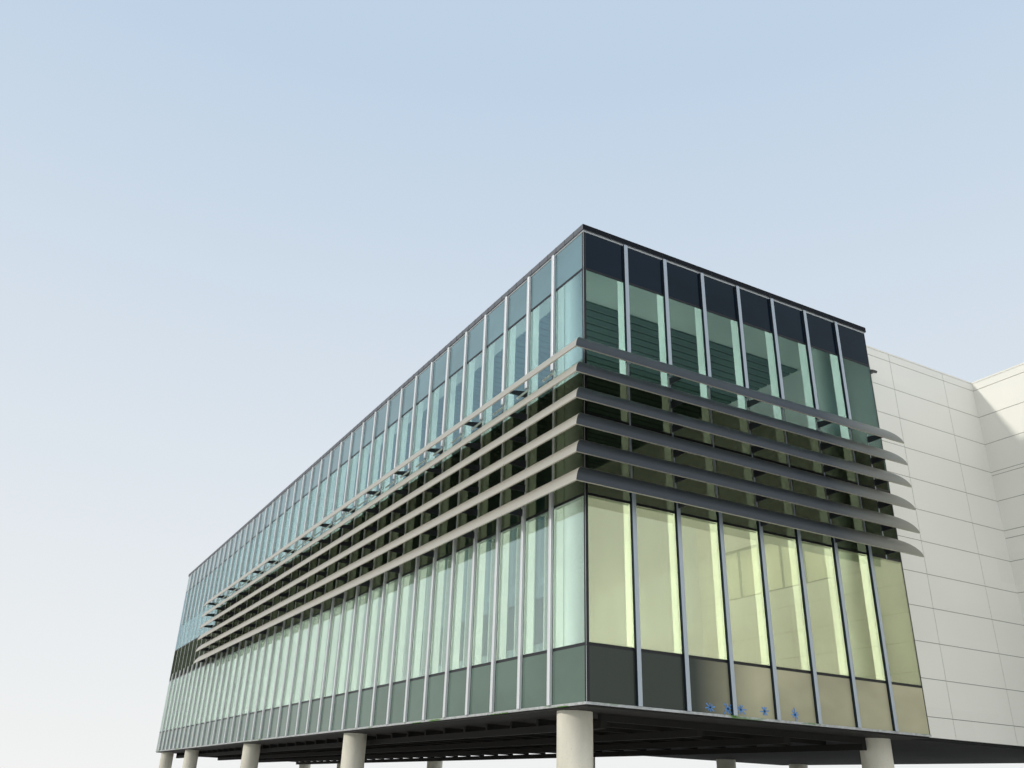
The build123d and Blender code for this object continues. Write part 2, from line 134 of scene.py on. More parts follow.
class TerminalSizes(bpy.types.PropertyGroup):
    """Sizes of the terminal's small parts."""

    panel_width: length("Panel width", 1.524, "Width of a white wall panel, joint to joint")
    panel_height: length("Panel height", 0.571, "Height of a white wall panel, joint to joint")
    first_panel_height: length("First panel height", 0.300, "Height of the lowest row of panels")
    first_panel_width: length("First panel width", 1.052, "Width of the panel beside the glass")
    panel_thickness: length("Panel thickness", 0.006, "How far a panel stands off its wall")
    panel_ease: length("Panel ease", 0.002, "Width of the eased edge round a panel")
    panel_joint: length("Panel joint", 0.012, "Open joint between two panels")
    baffle_pitch: length("Baffle pitch", 0.206, "Distance from one ceiling baffle to the next")
    baffle_width: length("Baffle width", 0.155, "Width of a ceiling baffle")
    baffle_depth: length("Baffle depth", 0.030, "Depth of a ceiling baffle")
    gasket_width: length("Gasket width", 0.008, "Width of a black glazing gasket")
    gasket_proud: length("Gasket proud", 0.003, "How far a gasket stands off the glass")
    seam_pitch: length("Seam pitch", 0.254, "Distance between the seams of the roof coping")
    seam_width: length("Seam width", 0.012, "Width of a standing seam")
    seam_rise: length("Seam rise", 0.004, "How far a seam stands off the face of the coping")
    coping_depth: length("Coping depth", 0.190, "How far the coping reaches in over the roof")
    lap_pitch: length("Lap pitch", 1.000, "Width of a strip of roof membrane")
    lap_width: length("Lap width", 0.080, "Width of a lap between two strips of membrane")
    membrane: length("Membrane", 0.005, "Thickness of the roof membrane as drawn")
    blade_joint: length("Blade joint", 0.014, "Width of the butt joint between two lengths of blade")
    joint_lift: length("Joint lift", 0.0012, "How far the joint's cover strip stands off the blade")
    first_joint: length("First joint", 1.509, "From the corner to the first joint on the long side")
    joint_pitch: length("Joint pitch", 3.025, "Length of a blade piece, joint to joint")
    film_scrap: length("Film scrap", 0.200, "Length of a torn strip of film")
    inner_frame: length("Inner frame", 0.016, "Width of the pale frame inside the lower panes")
    inner_frame_inset: length("Inner frame inset", 0.030, "From the glass face to the pale frame")
    blind_gap: length("Blind gap", 0.120, "From the ribbon window's glass to its blind")
    blind_cloth: length("Blind cloth", 0.004, "Thickness of the blind's cloth as drawn")
    # The bright strut is painted light: a white copy of a sunlit outrigger arm
    strut_length: length("Strut length", 0.236, "Length of the slanted strut under the top blade")
    strut_width: length("Strut width", 0.030, "Width of the slanted strut under the top blade")
    strut_out: length("Strut out", 0.132, "From the glass out to the strut's middle")
    strut_aside: length("Strut aside", 0.050, "From the fin's middle to the strut's middle")
    strut_rise: length("Strut rise", 0.070, "From the top blade's lower edge up to the strut's middle")
    drip_proud: length("Drip edge", 0.009, "How far the walls' drip edge stands out")
    drip_rise: length("Drip edge height", 0.014, "Height of the walls' drip edge")


class TerminalFinishes(bpy.types.PropertyGroup):
    """Colours of the terminal's finishes."""

    panel: colour("Panel", "E8E7DF", "Powder-coated white wall panel")
    panel_joint: colour("Panel joint", "55544E", "Seal between two white wall panels")
    fin: colour("Fin", "D6D8DA", "Silver anodised fin")
    # Painted shade and reflection: the short side's fins cooler, with a dark west flank
    short_fin_shade: colour("Short side's fin", "A9B3BC", "The same fin on the short side")
    fin_flank_shade: colour("Fin flank", "22303A", "Dark flank of the fins of the short side")
    blade: colour("Blade", "B9B4A7", "Satin anodised louvre blade")
    # Painted shade: the blades along the short side, darker as they lie in shade
    shaded_blade: colour("Blade round the corner", "3A3E40", "The same blades along the short side")
    # Painted shade: the outriggers near black, as they lie in shade
    shaded_bracket: colour("Bracket", "33363B", "Painted steel outrigger")
    coping: colour("Coping", "6C7076", "Folded metal coping")
    # Painted shade: the coping over the short side, near black as it lies in shade
    short_coping_shade: colour("Short side's coping", "0E1218", "The same coping over the short side")
    trim: colour("Trim", "B9BCBC", "Mill-finish aluminium trim")
    frame: colour("Frame", "101316", "Dark anodised window frame")
    mullion: colour("Mullion", "F0F5E6", "White enamelled mullion tube")
    plaster: colour("Plaster", "E6ECE4", "Painted plaster inside the hall")
    concrete: colour("Concrete", "DEDACA", "Smooth cast column")
    # Painted shade: the undercroft's slab, beams and block underside near black, as they lie in shade
    soffit: colour("Soffit", "1B1916", "Sooty slab and beams of the undercroft")
    block_soffit: colour("Block's soffit", "0B0B0A", "Underside of the white block")
    # Painted reflection: the short side's blades lighter near the white wall, as the wall lights them
    blade_end_reflection: colour("Blade's east end", "8E8D80", "The short side's blades near the white wall")
    # Painted light, shade and reflection: the long and short sides' glass colours differ
    vision: colour("Vision glass", "E6EEEA", "Light that the lower glass of the long side lets through")
    short_vision: colour("Short side's glass", "E8ECDC", "Light through the short side's lower glass")
    upper_vision: colour("Upper glass", "D3E1E2", "Light that the upper glass of the long side lets through")
    short_upper_vision: colour("Short upper glass", "BCCBCB", "Light let through at the short side's top")
    # Painted shade: the band of glass behind the louvres, dark as it lies in their shade
    band: colour("Band glass", "868B80", "Light that the darker band of glass lets through")
    ribbon_vision: colour("Ribbon glass", "FAFAF2", "Light that the ribbon windows let through")
    base_spandrel: colour("Base spandrel", "5C7065", "Grey-green enamel behind the base glass")
    # Painted reflection: the short side's base enamel and its darker first bays
    short_base_spandrel_reflection: colour("Short side's base spandrel", "ABA78B", "The same enamel on the short side")
    corner_spandrel_reflection: colour("Corner spandrel", "363C36", "Darker base spandrels at the short side's corner")
    terrazzo: colour("Terrazzo", "C9C6BC", "Top of the hall's floor")
    # Painted light and reflection: the long side's top enamel blue-grey, the short side's dark navy
    top_spandrel: colour("Top spandrel", "62828A", "Blue-grey enamel behind the top glass")
    short_top_spandrel: colour("Short side's top spandrel", "0F1B27", "Dark navy enamel on the short side")
    baffle: colour("Baffle", "5E736E", "Ceiling baffle")
    rubber: colour("Rubber", "15171A", "Glazing gasket")
    membrane: colour("Membrane", "A5A6A2", "Roofing membrane")
    blind: colour("Blind", "D9DAD8", "Roller blind behind the east ribbon window")
    # Painted light: the west blind glows, though no lamp lights it
    blind_glow_tone: colour("Lit blind", "F4F4EA", "Roller blind behind the west ribbon window, lit from inside")
    film: colour("Film", "4F86C4", "Torn protective film")
    moss: colour("Moss", "4E7A2C", "Moss on the sill")


class TerminalStage(bpy.types.PropertyGroup):
    """Floor, light and camera."""

    floor: colour("Floor", "D9D8D4", "Pale studio floor")
    horizon: colour("Horizon", "F2F3F2", "Background at the horizon")
    zenith: colour("Zenith", "BFD2E6", "Background overhead")
    fill: amount("Fill", 0.80, "Strength of the light from all sides")
    fill_from: direction("Fill from", (0.50, -0.80, 0.33), "Where most of the fill comes from")
    key: amount("Key", 1.7, "Strength of the key light")
    key_softness: FloatProperty(
        name="Key softness", description="Spread of the key light", default=0.05, min=0, subtype="ANGLE"
    )
    key_from: direction("Key from", (-1.0, 0.207, 0.43), "Where the key light comes from")
    hall_light: amount("Hall light", 130, "Power of each of the two level lamps in the hall")
    side_light: amount("Side light", 900, "Power of the upright lamp inside the long side's glass")
    tube_light: amount("Tube light", 4.0, "Strength of the light on the white mullion tubes")
    tube_from: direction("Tube light from", (-1.0, -0.35, 0.35), "Where the tube light comes from")
    image_width: IntProperty(name="Image width", description="Picture width in pixels", default=1024, min=1)


WHITE = linear("FFFFFF")

# Sockets of a Mix node of colours: its first colour, its second colour and its result
FIRST, SECOND, MIXED = 6, 7, 2


def blank(name):
    """A new material and its node tree, still empty."""
    material = bpy.data.materials.new(name)
    material.use_nodes = True
    material.node_tree.nodes.clear()
    return material, material.node_tree


def add(tree, kind, inputs=None, **settings):
    """Add a node: settings are its own properties, inputs are values or the sockets that feed them."""
    node = tree.nodes.new("ShaderNode" + kind)
    for key, value in settings.items():
        setattr(node, key, value)
    for key, value in (inputs or {}).items():
        if isinstance(value, bpy.types.NodeSocket):
            tree.links.new(value, node.inputs[key])
        else:
            node.inputs[key].default_value = value
    return node


def covered(material, kind, inputs):
    """The material with one shader as its surface."""
    tree = material.node_tree
    add(tree, "OutputMaterial", {"Surface": add(tree, kind, inputs).outputs[0]})
    return material


def scaled(rgba, share):
    """A colour made darker or lighter by a share."""
    return tuple(min(1.0, channel * share) for channel in rgba[:3]) + (1.0,)


def position(tree):
    """X, Y and Z of a point on the building, in metres."""
    return add(tree, "SeparateXYZ", {"Vector": add(tree, "TexCoord").outputs["Object"]}).outputs


def facing(tree):
    """X, Y and Z of the direction that a surface looks in."""
    return add(tree, "SeparateXYZ", {"Vector": add(tree, "NewGeometry").outputs["Normal"]}).outputs


def facing_south(tree):
    """How much a face looks along Y rather than X, from 0 to 1, on either side of a sheet; it splits painted
    light and shade between the long and the short side.
    """
    size = add(tree, "Math", {0: facing(tree)["Y"]}, operation="ABSOLUTE").outputs[0]
    return add(tree, "MapRange", {"Value": size, "From Min": 0.4, "From Max": 0.6}).outputs[0]


def stretched_noise(tree, period, detail=3.0):
    """Noise whose patches have a real size along X, Y and Z, in metres."""
    place = add(tree, "TexCoord").outputs["Object"]
    sized = add(tree, "Mapping", {"Vector": place, "Scale": [1 / size for size in period]}).outputs[0]
    return add(tree, "TexNoise", {"Vector": sized, "Scale": 1.0, "Detail": detail}).outputs[0]


def between(tree, factor, first, second, low=0.0, high=1.0):
    """A colour that goes from first to second as the factor goes from low to high."""
    eased = add(tree, "MapRange", {"Value": factor, "From Min": low, "From Max": high}, clamp=True)
    inputs = {"Factor": eased.outputs[0], FIRST: first, SECOND: second}
    return add(tree, "Mix", inputs, data_type="RGBA").outputs[MIXED]


def patchy(tree, tone, noise, low, high):
    """A tone that is up to 7 % darker in the patches of a noise."""
    uneven = between(tree, noise, scaled(WHITE, 0.93), WHITE, low, high)
    inputs = {"Factor": 1.0, FIRST: tone, SECOND: uneven}
    return add(tree, "Mix", inputs, data_type="RGBA", blend_type="MULTIPLY").outputs[MIXED]


def below_all(tree, limits):
    """One where every value is under its limit, and nought elsewhere."""
    product = 1.0
    for value, limit in limits:
        under = add(tree, "Math", {0: value, 1: limit}, operation="LESS_THAN").outputs[0]
        product = add(tree, "Math", {0: under, 1: product}, operation="MULTIPLY").outputs[0]
    return product


def mirrored(material, side, shares, under, mirror):
    """A material whose outer face mirrors: a least share of the light straight on, near all at a slant.

    The two shares are the long side's and the short side's.
    """
    tree = material.node_tree
    slant = add(tree, "LayerWeight", {"Blend": 0.5}).outputs["Facing"]
    steep = add(tree, "Math", {0: slant, 1: 5.0}, operation="POWER").outputs[0]
    least = add(tree, "MapRange", {"Value": side, "To Min": shares[0], "To Max": shares[1]}).outputs[0]
    share = add(tree, "MapRange", {"Value": steep, "To Min": least, "To Max": 1.0}).outputs[0]
    return covered(material, "MixShader", {0: share, 1: under.outputs[0], 2: mirror.outputs[0]})


def coated(name, rgba, roughness, metallic=0.0, grain=(0.4, 0.4, 0.4), spread=0.10, relief=0.0):
    """A painted, anodised or cast surface with a soft drift of tone and gloss at a real grain size."""
    material, tree = blank(name)
    drift = stretched_noise(tree, grain)
    tone = between(tree, drift, scaled(rgba, 1 - spread), scaled(rgba, 1 + spread / 2), 0.3, 0.7)
    dullest = min(1.0, roughness * 1.15)
    dull = add(tree, "MapRange", {"Value": drift, "To Min": roughness * 0.85, "To Max": dullest}).outputs[0]
    inputs = {"Base Color": tone, "Roughness": dull, "Metallic": metallic}
    if relief:
        inputs["Normal"] = add(tree, "Bump", {"Height": drift, "Distance": relief}).outputs[0]
    return covered(material, "BsdfPrincipled", inputs)


def glass(name, long_side, short_side, shade=None):
    """Solar-control float glass: tinted where it is looked through, mirrored more at a slant.

    Each side is its see-through colour, the colour of its mirror and the least share that it mirrors;
    the two sides differ as painted light, shade and reflection. The shade is a point, a colour and a mirror:
    south-west of and below the point the glass has these two, a painted shade of the louvres.
    """
    material, tree = blank(name)
    side = facing_south(tree)
    wave = stretched_noise(tree, (0.9, 0.9, 1.6), detail=1.0)
    wave_depth = 0.0004
    tint = between(tree, side, long_side[0], short_side[0])
    sheen = between(tree, side, long_side[1], short_side[1])
    if shade:
        point, shaded_tint, shaded_sheen = shade
        behind = below_all(tree, zip(position(tree), point))
        tint = between(tree, behind, tint, shaded_tint)
        sheen = between(tree, behind, sheen, shaded_sheen)
    clear = add(tree, "BsdfTransparent", {"Color": patchy(tree, tint, wave, 0.35, 0.65)})
    normal = add(tree, "Bump", {"Height": wave, "Distance": wave_depth}).outputs[0]
    mirror = add(tree, "BsdfGlossy", {"Color": sheen, "Roughness": 0.015, "Normal": normal})
    return mirrored(material, side, (long_side[2], short_side[2]), clear, mirror)


def enamelled_glass(name, long_enamel, short_enamel, shares, corner=None):
    """Back-painted spandrel glass: flat enamel under a mirroring face, of another tone round the corner,
    which is painted light, shade and reflection.

    The short side may have a darker painted reflection in its first bays, which goes over into its own tone.
    """
    material, tree = blank(name)
    side = facing_south(tree)
    cloud = stretched_noise(tree, (1.4, 1.4, 0.8))
    first = between(tree, cloud, scaled(long_enamel, 0.9), scaled(long_enamel, 1.08), 0.35, 0.65)
    second = between(tree, cloud, scaled(short_enamel, 0.85), scaled(short_enamel, 1.15), 0.35, 0.65)
    if corner:
        corner_end, own_start = WEST_X + 2.2 * BAY, WEST_X + 3.6 * BAY
        second = between(tree, position(tree)["X"], corner, second, corner_end, own_start)
    enamel = add(tree, "BsdfDiffuse", {"Color": between(tree, side, first, second)})
    mirror = add(tree, "BsdfGlossy", {"Color": linear("EFF3F1"), "Roughness": 0.02})
    return mirrored(material, side, shares, enamel, mirror)


def lit_and_shaded_sheet(name, rgba, shaded, grain, roughness, metallic, gloss=0.5, far_end_reflection=None):
    """Satin metal sheet, rolled lengthwise: one tone where it looks west, a painted shade round the corner.

    The painted shade round the corner may go over into a painted reflection of the white wall at its far end.
    """
    material, tree = blank(name)
    drift = stretched_noise(tree, grain)
    if far_end_reflection:
        start, end = EAST_X - 2.5 * BAY, EAST_X + 0.2
        shaded = between(tree, position(tree)["X"], shaded, far_end_reflection, start, end)
    tone = between(tree, facing_south(tree), rgba, shaded)
    dull = add(tree, "MapRange", {"Value": drift, "To Min": roughness * 0.85, "To Max": roughness * 1.2})
    inputs = {
        "Base Color": patchy(tree, tone, drift, 0.3, 0.7),
        "Roughness": dull.outputs[0],
        "Metallic": metallic,
        "Specular IOR Level": gloss,
    }
    return covered(material, "BsdfPrincipled", inputs)


def slab_finish(name, underside, top):
    """Floor slab: blotchy cast concrete below, painted dark as shade, ground terrazzo on top, where the hall
    stands on it.
    """
    material, tree = blank(name)
    blotch = stretched_noise(tree, UNDERSIDE_BLOTCH)
    chip = stretched_noise(tree, (0.02, 0.02, 0.02), detail=2.0)
    below = between(tree, blotch, scaled(underside, 0.65), scaled(underside, 1.2), 0.3, 0.7)
    above = between(tree, chip, scaled(top, 0.85), top, 0.4, 0.6)
    tone = between(tree, facing(tree)["Z"], below, above, 0.4, 0.6)
    return covered(material, "BsdfPrincipled", {"Base Color": tone, "Roughness": 0.8})


def anodised_fin_painted_shade(name, rgba, short, flank):
    """Silver anodised fin, drawn lengthwise; cooler on the short side, where its west flank is navy: both
    painted shade and reflection.
    """
    material, tree = blank(name)
    drift = stretched_noise(tree, (0.02, 0.02, 1.2))
    y, blur = position(tree)["Y"], 0.001
    silver = between(tree, y, short, rgba, SOUTH_Y - blur, SOUTH_Y + blur)
    tone = between(tree, drift, silver, rgba, 0.6, 1.4)
    dark = below_all(tree, ((facing(tree)["X"], -0.5), (y, SOUTH_Y)))
    inputs = {"Base Color": between(tree, dark, tone, flank), "Roughness": 0.36, "Metallic": 0.25}
    return covered(material, "BsdfPrincipled", inputs)


def panel_paint(name, rgba, sizes):
    """Powder-coated aluminium panel: satin, each panel a shade apart, with a slow drift of tone."""
    material, tree = blank(name)
    place = add(tree, "TexCoord").outputs["Object"]
    step = (sizes.panel_width, sizes.panel_width, sizes.panel_height)
    cell = add(tree, "VectorMath", {0: place, 1: step}, operation="SNAP")
    shade = add(tree, "TexWhiteNoise", {"Vector": cell.outputs[0]}).outputs["Value"]
    base = between(tree, shade, scaled(rgba, 0.985), scaled(rgba, 1.015))
    drift = stretched_noise(tree, (2.5, 2.5, 2.5), detail=2.0)
    tone = between(tree, drift, scaled(rgba, 0.96), base, 0.35, 0.6)
    dent = stretched_noise(tree, (0.8, 0.8, 0.5), detail=1.0)
    dent_depth = 0.0015
    normal = add(tree, "Bump", {"Height": dent, "Distance": dent_depth}).outputs[0]
    inputs = {"Base Color": tone, "Roughness": 0.45, "Normal": normal}
    return covered(material, "BsdfPrincipled", inputs)


def mossy_metal(name, rgba, moss):
    """Anodised sill with green moss and dark runs where water stands."""
    material, tree = blank(name)
    patch = stretched_noise(tree, (0.5, 0.9, 0.10), detail=5.0)
    speck = stretched_noise(tree, (0.05, 0.05, 0.05), detail=4.0)
    worn = between(tree, speck, scaled(rgba, 0.72), rgba, 0.35, 0.6)
    tone = between(tree, patch, worn, moss, 0.56, 0.66)
    inputs = {"Base Color": tone, "Roughness": 0.55, "Metallic": 0.15}
    return covered(material, "BsdfPrincipled", inputs)


def cast_concrete(name, rgba):
    """Cast column: form-tube finish with faint stains and pores, the pores coarse enough to show."""
    material, tree = blank(name)
    stain = stretched_noise(tree, (0.35, 0.35, 0.9), detail=5.0)
    pore = stretched_noise(tree, (0.012, 0.012, 0.012), detail=2.0)
    pore_depth = 0.0008
    tone = between(tree, stain, scaled(rgba, 0.82), scaled(rgba, 1.04), 0.35, 0.62)
    pitted = between(tree, pore, scaled(rgba, 0.7), tone, 0.26, 0.36)
    normal = add(tree, "Bump", {"Height": pore, "Distance": pore_depth}).outputs[0]
    inputs = {"Base Color": pitted, "Roughness": 0.8, "Normal": normal}
    return covered(material, "BsdfPrincipled", inputs)


def painted_glow(name, rgba, strength):
    """Thin cloth that glows: painted light that stands in for light from behind."""
    material, tree = blank(name)
    speck = stretched_noise(tree, (0.05, 0.05, 0.05))
    tone = between(tree, speck, scaled(rgba, 0.95), rgba)
    inputs = {"Base Color": tone, "Roughness": 0.4, "Emission Color": rgba, "Emission Strength": strength}
    return covered(material, "BsdfPrincipled", inputs)


MATERIALS = {}

# Size of a blotch under the slabs, in their painted shade, along X, Y and Z
UNDERSIDE_BLOTCH = (0.5, 0.9, 0.3)


def even(size):
    """A grain of the same size along X, Y and Z."""
    return (size, size, size)


def make_metals_and_paints(finishes, sizes):
    """Panels, fins, blades, trims and frames."""
    MATERIALS["panel"] = panel_paint("powder_coated_panel", finishes.panel, sizes)
    # Silicone in a narrow joint: dull, without a highlight
    MATERIALS["panel_joint"] = coated("panel_joint_seal", finishes.panel_joint, 0.8)
    # Anodised fin: silver, with painted shade and reflection on the short side
    MATERIALS["fin"] = anodised_fin_painted_shade("anodised_fin_painted_shade", finishes.fin, finishes.short_fin_shade, finishes.fin_flank_shade)
    # Rolled and anodised aluminium: satin streaks along the blade, painted shade along the short side and a
    # painted reflection of the white wall at its east end
    MATERIALS["blade"] = lit_and_shaded_sheet(
        "satin_anodised_blade",
        finishes.blade,
        finishes.shaded_blade,
        grain=(1.6, 1.6, 0.03),
        roughness=0.42,
        metallic=0.25,
        far_end_reflection=finishes.blade_end_reflection,
    )
    # Outriggers: an even half-gloss, painted nearly black as shade
    MATERIALS["shaded_bracket"] = coated("bracket_painted_shade", finishes.shaded_bracket, 0.5)
    # Painted sheet, folded: dull, with soft patches, and painted near black as shade over the short side
    MATERIALS["coping"] = lit_and_shaded_sheet(
        "folded_metal_coping",
        finishes.coping,
        finishes.short_coping_shade,
        grain=(0.25, 0.25, 0.1),
        roughness=0.6,
        metallic=0.0,
        gloss=0.15,
    )
    # Aluminium as it left the mill: pale, with a soft shine
    MATERIALS["trim"] = coated("mill_aluminium_trim", finishes.trim, 0.4, metallic=0.4)
    # Dark anodised aluminium: nearly black, with a soft shine
    MATERIALS["frame"] = coated("dark_anodised_frame", finishes.frame, 0.4, metallic=0.2)
    # Stove enamel: smooth and even
    MATERIALS["mullion"] = coated("enamelled_mullion", finishes.mullion, 0.4, spread=0.05)
    MATERIALS["sill"] = mossy_metal("mossy_sill", finishes.trim, finishes.moss)


def make_glasses(finishes):
    """Window glass and spandrels, tinted and mirroring as each storey does."""
    # The band's dark tint and dull mirror are painted shade of the louvres, also on the upper glass behind
    # them
    shaded_mirror = linear("5A6052")
    east_face_gap, shade_rise = 0.03, 0.30
    blade_low, blade_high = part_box(BLADES[1])
    shade_corner = (EAST_X - east_face_gap, blade_high.y - BAY / 2, blade_low.z + shade_rise)
    # The long and short sides' tints, mirror colours and shares differ as painted light, shade and reflection
    MATERIALS["lower_vision"] = glass(
        "lower_vision_glass",
        (finishes.vision, linear("DCEAE4"), 0.30),
        (finishes.short_vision, linear("DAD9C8"), 0.18),
    )
    MATERIALS["upper_vision"] = glass(
        "upper_vision_glass",
        (finishes.upper_vision, linear("BCD2DC"), 0.24),
        (finishes.short_upper_vision, linear("9FB8B6"), 0.03),
        shade=(shade_corner, finishes.band, shaded_mirror),
    )
    MATERIALS["band"] = glass(
        "band_glass_painted_shade", (finishes.band, shaded_mirror, 0.05), (finishes.band, shaded_mirror, 0.04)
    )
    ribbon = (finishes.ribbon_vision, linear("E6EAE0"), 0.05)
    MATERIALS["ribbon"] = glass("ribbon_window_glass", ribbon, ribbon)
    # The spandrels' tones round the corner are painted light, shade and reflection
    MATERIALS["base_spandrel"] = enamelled_glass(
        "base_spandrel_glass",
        finishes.base_spandrel,
        finishes.short_base_spandrel_reflection,
        shares=(0.05, 0.03),
        corner=finishes.corner_spandrel_reflection,
    )
    MATERIALS["top_spandrel"] = enamelled_glass(
        "top_spandrel_glass", finishes.top_spandrel, finishes.short_top_spandrel, shares=(0.16, 0.02)
    )


def make_masonry_and_cloth(finishes):
    """Plaster, concrete, membrane, rubber, cloth, moss and film."""
    # Painted plaster: matt, with wide soft patches
    MATERIALS["plaster"] = coated("painted_plaster", finishes.plaster, 0.85, grain=even(0.7), spread=0.06)
    MATERIALS["concrete"] = cast_concrete("cast_column_concrete", finishes.concrete)
    # Cast concrete, painted near black as shade: matt and blotchy
    for key, name, tone, roughness in (
        ("soffit", "beam_concrete_painted_shade", finishes.soffit, 0.9),
        ("block_soffit", "block_soffit_painted_shade", finishes.block_soffit, 0.95),
    ):
        MATERIALS[key] = coated(name, tone, roughness, grain=UNDERSIDE_BLOTCH, spread=0.35)
    MATERIALS["slab"] = slab_finish("floor_slab_concrete", finishes.soffit, finishes.terrazzo)
    # Painted metal baffle: matt, streaked along its length
    MATERIALS["baffle"] = coated("ceiling_baffle", finishes.baffle, 0.7, grain=(1.0, 0.1, 0.1))
    # Moulded rubber: black, with a weak shine
    MATERIALS["rubber"] = coated("glazing_rubber", finishes.rubber, 0.6, grain=even(0.05))
    # Weathered bitumen sheet: matt and cloudy, a little uneven
    MATERIALS["membrane"] = coated(
        "roofing_membrane", finishes.membrane, 0.9, grain=even(0.6), spread=0.2, relief=0.002
    )
    # Woven blind: matt, with fine level lines, drawn coarser than threads so that they show
    MATERIALS["blind"] = coated(
        "roller_blind_cloth", finishes.blind, 0.9, grain=(0.3, 0.3, 0.01), spread=0.06
    )
    # A glow painted on the west blind stands in for light from inside
    MATERIALS["glowing_blind"] = painted_glow("blind_cloth_painted_glow", finishes.blind_glow_tone, 0.6)
    # Moss: matt, with strong small patches
    MATERIALS["moss"] = coated("cushion_moss", finishes.moss, 0.9, grain=even(0.01), spread=0.4)
    # Polythene film: creased, so its tone jumps and it shines
    MATERIALS["film"] = coated("torn_film", finishes.film, 0.3, grain=even(0.04), spread=0.3)


NODE_FINISHES = {
    "panel_joint": (
        "recessed_wall",
        "wing_west_wall",
        "wing_south_wall",
        "block_east_wall",
        "block_north_wall",
    ),
    "panel": ("block_coping", "hall_return", "party_wall"),
    "fin": ("lower_fins", "upper_fins", "east_fins", "band_caps"),
    "blade": BLADES,
    "shaded_bracket": ("west_brackets", "south_brackets", "wall_lamp"),
    "coping": ("roof_coping",),
    "trim": ("top_trims",),
    "sill": ("base_sills",),
    "frame": ("corner_posts", "transoms", "ribbon_frames"),
    "mullion": ("west_mullions", "south_mullions", "east_mullions"),
    "plaster": ("hall_roof", "hall_columns", "dividing_wall", "block_roof"),
    "concrete": ("round_columns",),
    "soffit": ("cross_ribs", "long_ribs"),
    "block_soffit": ("block_floor",),
    "slab": ("hall_floor",),
    "lower_vision": ("lower_glass",),
    "upper_vision": ("upper_glass",),
    "ribbon": ("ribbon_glass",),
    "band": ("band_glass",),
    "base_spandrel": ("base_spandrels",),
    "top_spandrel": ("top_spandrels",),
}


def add_piece(name, form, finish):
    """Turn a bmesh into a finished piece that rides on the building."""
    bmesh.ops.recalc_face_normals(form, faces=form.faces[:])
    mesh = bpy.data.meshes.new(name)
    form.to_mesh(mesh)
    form.free()
    mesh.materials.append(MATERIALS[finish])
    piece = bpy.data.objects.new(name, mesh)
    bpy.context.scene.collection.objects.link(piece)
    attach(piece, "root")


def add_block(form, middle, size, turn=Matrix()):
    """A closed block round its middle, turned about it."""
    place = Matrix.Translation(middle) @ turn @ Matrix.Diagonal((*size, 1.0))
    bmesh.ops.create_cube(form, size=1.0, matrix=place)


def add_bar(form, low, high):
    """A closed bar between its low and high corners."""
    low, high = Vector(low), Vector(high)
    add_block(form, (low + high) / 2, high - low)


def everything(form):
    """All geometry of a bmesh."""
    return form.verts[:] + form.edges[:] + form.faces[:]


def panel_wall(name, corner, along, out, run, columns, sizes, opening):
    """Panels on one wall: a sheet cut at its joints, opened up, thickened and eased at the edges."""
    rise = WALL_HIGH.z - WALL_LOW.z
    rows = stations(sizes.first_panel_height, sizes.panel_height, rise)
    form = bmesh.new()
    turn = Matrix((along, UP, out)).transposed().to_4x4()
    from_corner = Matrix.Translation((0.5, 0.5, 0))
    place = Matrix.Translation(corner) @ turn @ Matrix.Diagonal((run, rise, 1.0, 1.0)) @ from_corner
    bmesh.ops.create_grid(form, x_segments=1, y_segments=1, size=0.5, matrix=place)
    cuts = [(station, along) for station in columns] + [(level, UP) for level in rows]
    if opening:
        cuts += [(edge, along) for edge in opening[0]] + [(edge, UP) for edge in opening[1]]
    for distance, way in cuts:
        bmesh.ops.bisect_plane(form, geom=everything(form), plane_co=corner + way * distance, plane_no=way)
    if opening:
        (start, end), (bottom, top) = opening
        inside = []
        for face in form.faces:
            middle = face.calc_center_median() - corner
            if start < middle.dot(along) < end and bottom < middle.z < top:
                inside.append(face)
        bmesh.ops.delete(form, geom=inside, context="FACES")
    rims = bmesh.ops.inset_individual(form, faces=form.faces[:], thickness=sizes.panel_joint / 2)
    bmesh.ops.delete(form, geom=rims["faces"], context="FACES")
    bmesh.ops.solidify(form, geom=form.faces[:], thickness=-sizes.panel_thickness)
    halfway = sizes.panel_thickness / 2
    front = [edge for edge in form.edges if all((vert.co - corner).dot(out) > halfway for vert in edge.verts)]
    bmesh.ops.bevel(
        form, geom=front, offset=sizes.panel_ease, segments=1, profile=0.5, affect="EDGES", material=-1
    )
    add_piece(name, form, "panel")


def stations(first, pitch, limit):
    """Distances from the first to just short of the limit, a pitch apart."""
    short_of = 1e-6
    count = int((limit - first - short_of) // pitch) + 1
    return [first + number * pitch for number in range(count)]


class TERMINAL_OT_node_finishes(bpy.types.Operator):
    """Give each solid of the building its finish."""

    bl_idname = "terminal.node_finishes"
    bl_label = "Finish the solids"

    def execute(self, context):
        finishes = context.scene.terminal_finishes
        make_metals_and_paints(finishes, context.scene.terminal_sizes)
        make_glasses(finishes)
        make_masonry_and_cloth(finishes)
        for finish, names in NODE_FINISHES.items():
            for name in names:
                slots = frame["nodes"][name].data.materials
                slots.clear()
                slots.append(MATERIALS[finish])
        return {"FINISHED"}


